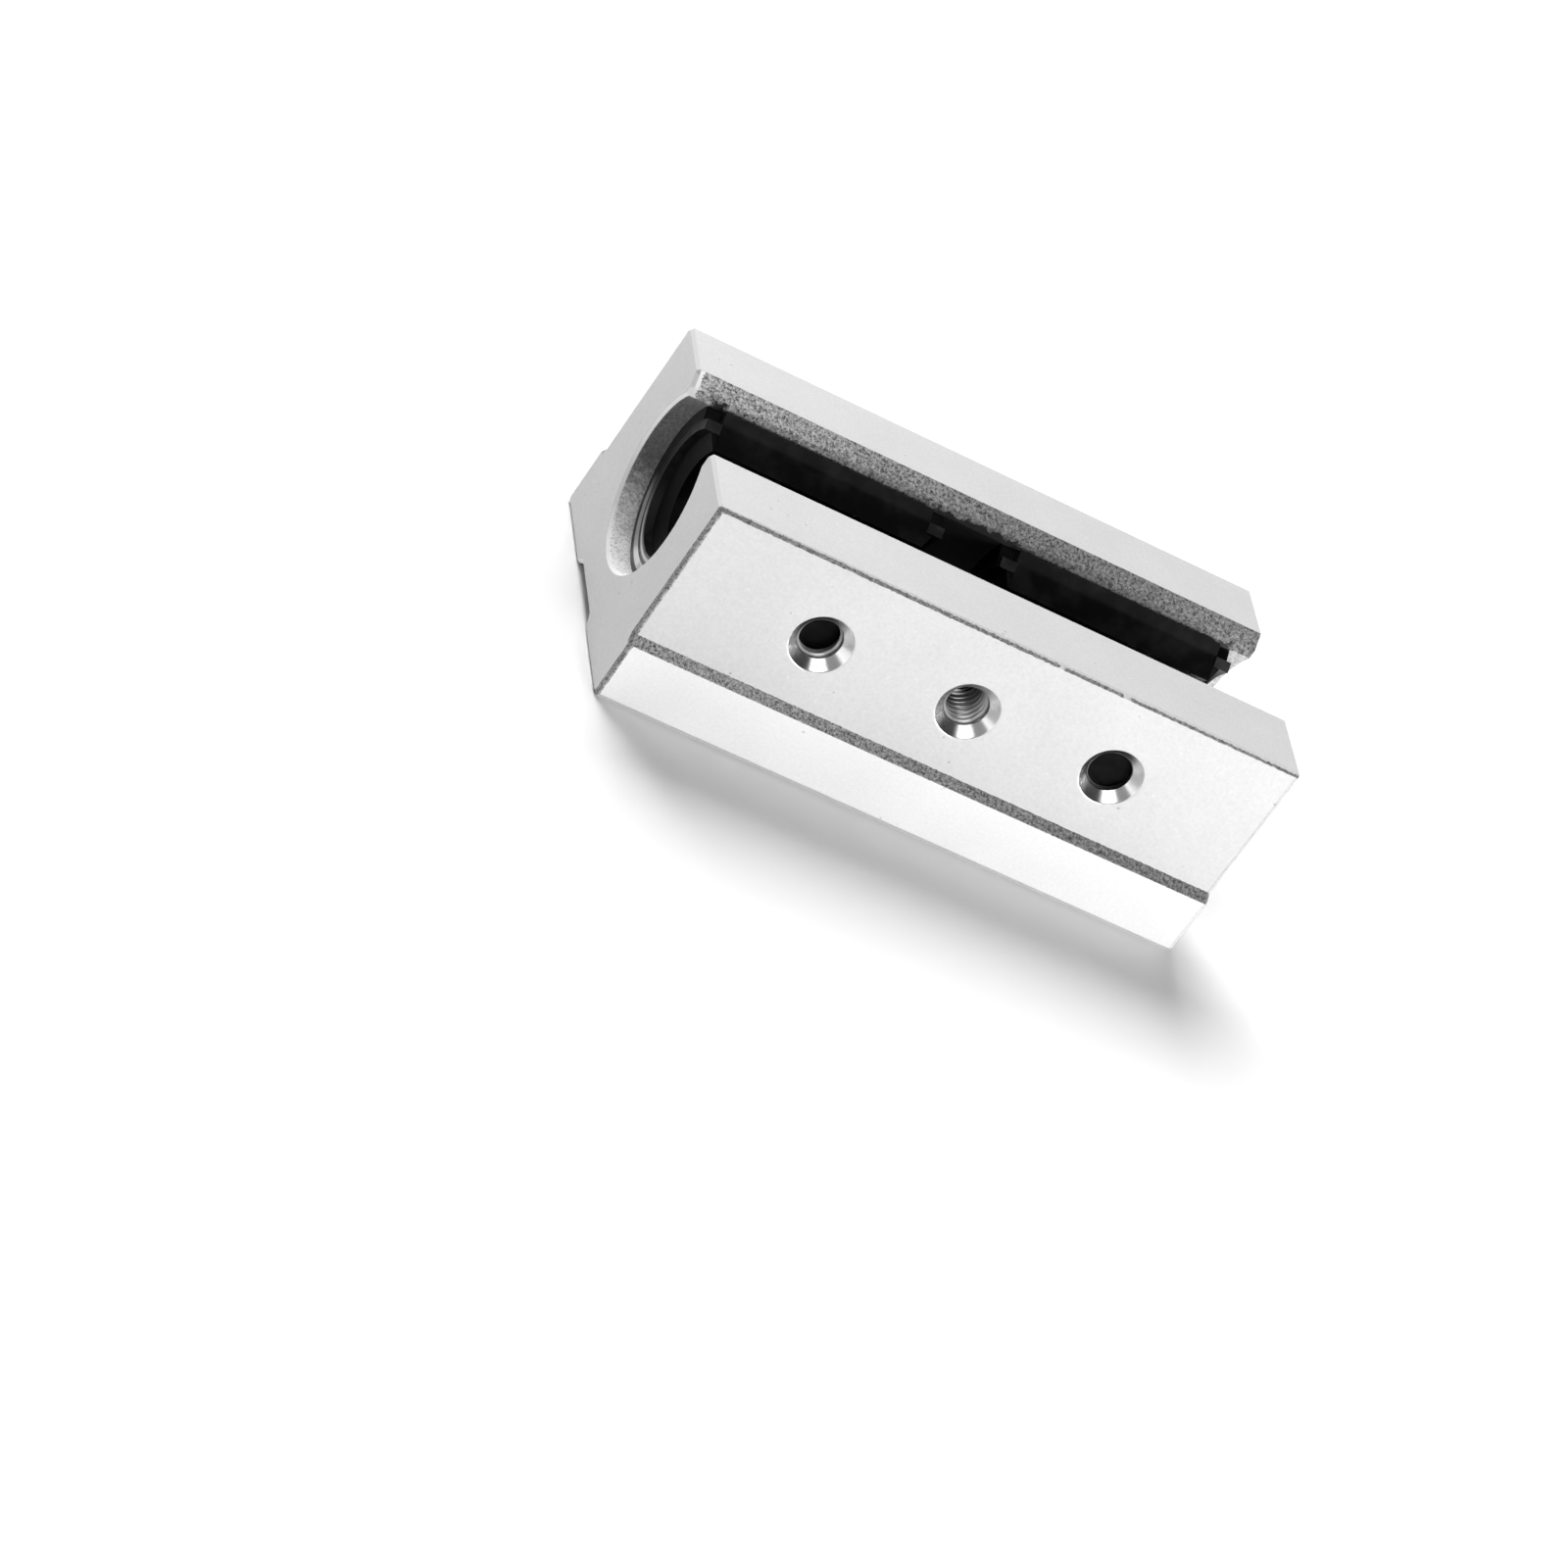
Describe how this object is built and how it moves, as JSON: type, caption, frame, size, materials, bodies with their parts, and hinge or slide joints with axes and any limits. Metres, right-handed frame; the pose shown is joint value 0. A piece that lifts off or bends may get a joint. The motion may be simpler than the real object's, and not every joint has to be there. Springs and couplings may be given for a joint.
{
  "type": "linear bearing block",
  "caption": "Long aluminium slide block, open along one face, holding open linear ball bearings for a supported round shaft, with countersunk side holes and tapped mounting holes.",
  "frame": {"origin": "centre of the mounting face, on its plane", "axes": "+X along the shaft passage, away from the front end; +Z out of the open slot; -Y is the side with three holes"},
  "size_m": [0.078, 0.04, 0.0276],
  "materials": {
    "aluminium_body": "pale satin, fine machining and a bead-blasted grain on the edge breaks and slot flare",
    "black_steel": "black oxide",
    "sleeve_steel": "ground bearing steel",
    "cage_plastic": "black moulded plastic, slight gloss",
    "ring_plastic": "black moulded plastic",
    "seal_rubber": "black rubber",
    "ball_steel": "polished steel"
  },
  "bodies": {
    "root": {"housing_block": "aluminium_body", "front_set_screw": "black_steel", "rear_set_screw": "black_steel", "front_sleeve": "sleeve_steel", "front_ball_cage": "cage_plastic", "front_outer_ring": "ring_plastic", "front_outer_seal": "seal_rubber", "front_inner_ring": "ring_plastic", "front_inner_seal": "seal_rubber", "front_left_balls": "ball_steel", "front_lower_balls": "ball_steel", "front_right_balls": "ball_steel", "rear_sleeve": "sleeve_steel", "rear_ball_cage": "cage_plastic", "rear_outer_ring": "ring_plastic", "rear_outer_seal": "seal_rubber", "rear_inner_ring": "ring_plastic", "rear_inner_seal": "seal_rubber", "rear_left_balls": "ball_steel", "rear_lower_balls": "ball_steel", "rear_right_balls": "ball_steel"}
  },
  "joints": []
}
